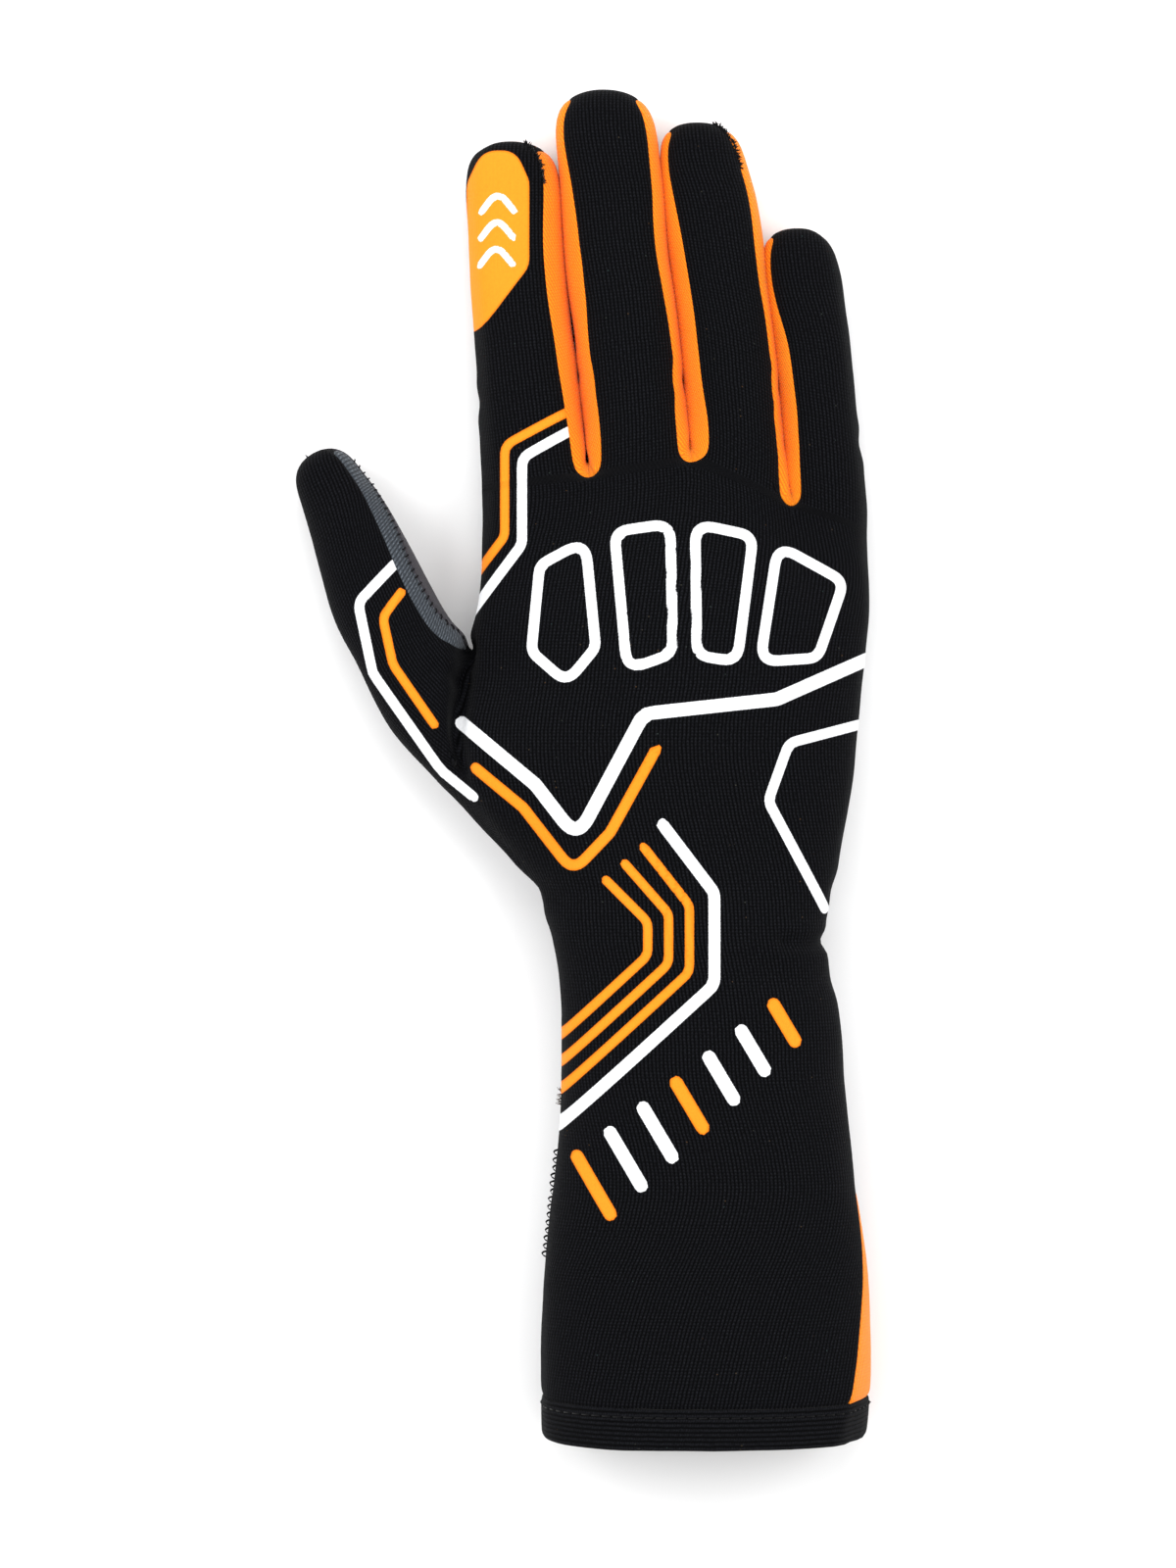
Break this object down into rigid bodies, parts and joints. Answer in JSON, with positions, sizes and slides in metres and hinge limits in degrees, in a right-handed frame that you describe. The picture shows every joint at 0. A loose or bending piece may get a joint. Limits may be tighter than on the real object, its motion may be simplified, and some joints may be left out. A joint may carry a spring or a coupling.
{
  "type": "racing glove",
  "caption": "Right-hand racing glove with a long cuff, black knit back, suede palm, orange side strips between the fingers, a thumb gusset and a hemmed open mouth.",
  "frame": {"origin": "centre of the bounding box in plan, on the surface that the palm lies on", "axes": "+Y from the cuff's mouth to the fingertips, +Z out of the back of the hand, +X to the little finger's side"},
  "size_m": [0.142, 0.3326, 0.0396],
  "materials": {
    "black_knit": "matt fine rib knit, lightly brushed",
    "charcoal_suede": "matt suede",
    "orange_knit": "matt knit with a diagonal twill look",
    "grey_rib_knit": "matt cross-ribbed knit",
    "black_rib": "matt ribbed binding"
  },
  "bodies": {
    "root": {"back_panel": "black_knit", "palm_panel": "charcoal_suede", "index_middle_fourchette": "orange_knit", "middle_ring_fourchette": "orange_knit", "ring_little_fourchette": "orange_knit", "thumb_gusset": "grey_rib_knit", "thumb_palm": "charcoal_suede", "cuff_gusset": "orange_knit", "hem_band": "black_rib"}
  },
  "joints": []
}
